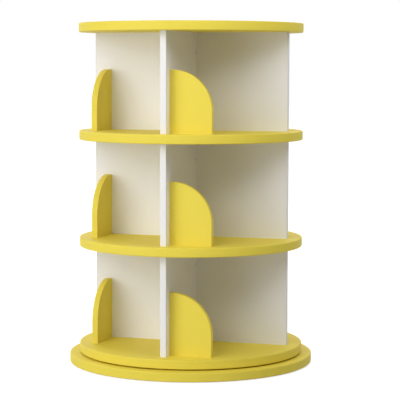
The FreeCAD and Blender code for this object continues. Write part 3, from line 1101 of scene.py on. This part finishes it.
def foot_profile(radius, height):
    """From the axis, along the dished underside, round the rim and over the top."""
    points = [(0.0, FOOT_DISH_DEPTH), (FOOT_DISH_RADIUS - FOOT_DISH_DEPTH, FOOT_DISH_DEPTH)]
    points.append((FOOT_DISH_RADIUS, 0.0))
    points += quarter_round((radius - FOOT_EDGE, FOOT_EDGE), FOOT_EDGE, -90, FOOT_EDGE_STEPS)
    return points + [(radius, height), (0.0, height)]


def solid_middle(points, level):
    """The middle of a solid in plan, at a chosen level."""
    xs = [point.x for point in points]
    ys = [point.y for point in points]
    return Vector(((min(xs) + max(xs)) / 2, (min(ys) + max(ys)) / 2, level))


foot_low, foot_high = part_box("rubber_feet")
feet = separate_solids("rubber_feet")
foot_radius = (max(point.x for point in feet[0]) - min(point.x for point in feet[0])) / 2
host = profile_line("foot_profile", foot_profile(foot_radius, foot_high.z))
give_tree(host, lathe_tree, {"Steps": FOOT_STEPS, "Material": rubber})
foot_template = take_result(host, "foot_template")
foot_places = sorted((tuple(solid_middle(points, foot_low.z)), (0, 0, 1)) for points in feet)
pads = set_at_places("pressed_rubber_feet", foot_template, foot_places, rubber)
bpy.data.objects.remove(foot_template)
put_in_frame(pads, "rubber_feet")
print(pads.name, "has", len(foot_places), "pads of", round(2 * foot_radius / MM, 1), "mm")

# %% [markdown]
# The light is that of a plain studio. In the photograph the left of each rim is bright and the
# right is dimmer, more so towards the floor. So two large soft lamps stand at the left, a high
# one in front and a low one to the side, and a small one hangs close to the upper right, where
# its light falls off quickly downwards. Two lamps behind keep the back from going dull. They
# hang high, because a low one there would gleam on the shelves towards the camera. The lamps'
# sizes decide how soft the shadows under the shelves are. Each lamp has its azimuth and
# elevation in degrees, its distance, its width and the level that it aims at in metres, and its
# power in watts.

# %% Lamps
def add_lamp(name, azimuth, elevation, distance, size, level, power):
    """A round soft lamp aimed at a level of the axis. Its azimuth is counted from the camera's."""
    target = Vector((0, 0, level))
    turn = Matrix.Rotation(CAMERA_AZIMUTH + math.radians(azimuth), 4, "Z")
    lift = Matrix.Rotation(-math.radians(elevation), 4, "X")
    data = bpy.data.lights.new(name, "AREA")
    data.shape = "DISK"
    data.size = size
    data.energy = power
    lamp = bpy.data.objects.new(name, data)
    lamp.location = target + turn @ lift @ Vector((0, -distance, 0))
    lamp.rotation_euler = (target - lamp.location).to_track_quat("-Z", "Y").to_euler()
    bpy.context.scene.collection.objects.link(lamp)
    return lamp


LAMPS = {
    "front_left_lamp": (-30, 30, 2.6, 1.4, 0.34, 20.5),
    "low_left_lamp": (-54, 8, 2.6, 1.6, 0.34, 24.5),
    "upper_right_lamp": (45, 30, 1.2, 0.7, 0.68, 5.5),
    "back_lamp": (160, 42, 2.6, 1.4, 0.34, 14.0),
    "back_left_lamp": (-150, 38, 2.6, 1.4, 0.34, 18.0),
}
for name, values in LAMPS.items():
    add_lamp(name, *values)
print("Lamps:", {name: values[-1] for name, values in LAMPS.items()}, "W")

# %% [markdown]
# The room and the floor are white to the eye. A Light Path node tells which rays come from the
# camera, off a glossy surface or through glass, and only those see the full white. The rays
# that light the case see a quieter room. The floor glows a little under white and adds its own
# real shading to that, so the soft shadow at the foot of the case stays, and away from the case
# it fades to the white of the room.

# %% Room and floor
ROOM_LIGHT = 0.25
FLOOR_SIZE = 40.0
FLOOR_WHITE = (0.6, 0.6, 0.6, 1)
FLOOR_NEAR_GLOW = 0.72
FLOOR_FADE_START = 0.3
FLOOR_FADE_END = 1.1


def seen_directly(tree):
    """One for rays from the camera, a mirror or glass, and zero for rays that light."""
    path = tree.nodes.new("ShaderNodeLightPath").outputs
    seen = maths(tree, "MAXIMUM", path["Is Camera Ray"], path["Is Glossy Ray"])
    return maths(tree, "MAXIMUM", seen, path["Is Transmission Ray"])


def make_room():
    """A white surrounding, full white only where it is seen."""
    world = bpy.data.worlds.new("white_room")
    world.use_nodes = True
    tree = world.node_tree
    glow = tree.nodes["Background"]
    glow.inputs["Color"].default_value = (1, 1, 1, 1)
    feed(tree, glow.inputs["Strength"], remap(tree, seen_directly(tree), 0.0, 1.0, ROOM_LIGHT, 1.0))
    bpy.context.scene.world = world


def make_floor():
    """A wide pale floor that keeps the case's shadow and fades to the room's white."""
    half = FLOOR_SIZE / 2
    mesh = bpy.data.meshes.new("studio_floor")
    corners = [(-half, -half, 0), (half, -half, 0), (half, half, 0), (-half, half, 0)]
    mesh.from_pydata(corners, [], [(0, 1, 2, 3)])
    floor = new_object("studio_floor", mesh)
    material, tree, shader, place = open_material("white_floor", roughness=0.9, specular_ior_level=0.1)
    shader.inputs["Base Color"].default_value = FLOOR_WHITE
    shader.inputs["Emission Color"].default_value = (1, 1, 1, 1)
    distance = add(tree, "ShaderNodeVectorMath", {0: place}, operation="LENGTH").outputs["Value"]
    glow = remap(tree, distance, FLOOR_FADE_START, FLOOR_FADE_END, FLOOR_NEAR_GLOW, 1.0)
    feed(tree, shader.inputs["Emission Strength"], maths(tree, "MULTIPLY", glow, seen_directly(tree)))
    mesh.materials.append(material)
    floor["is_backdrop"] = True


make_room()
make_floor()
bpy.context.scene.view_settings.view_transform = "Standard"
print("Room light", ROOM_LIGHT, "and floor", FLOOR_SIZE, "m wide")

# %% [markdown]
# Last, the size of the dressed model is measured beside that of the frame. The looks must not
# make the case grow, so the largest difference between the two boxes is printed.

# %% Compare the sizes and finish
visual_box = [list(corner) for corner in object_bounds()]
growth = max(abs(a - b) for old, new in zip(cad_box, visual_box) for a, b in zip(old, new))
print("Size", [round(v, 4) for v in visual_box[1]], "differs by at most", round(growth / MM, 3), "mm")
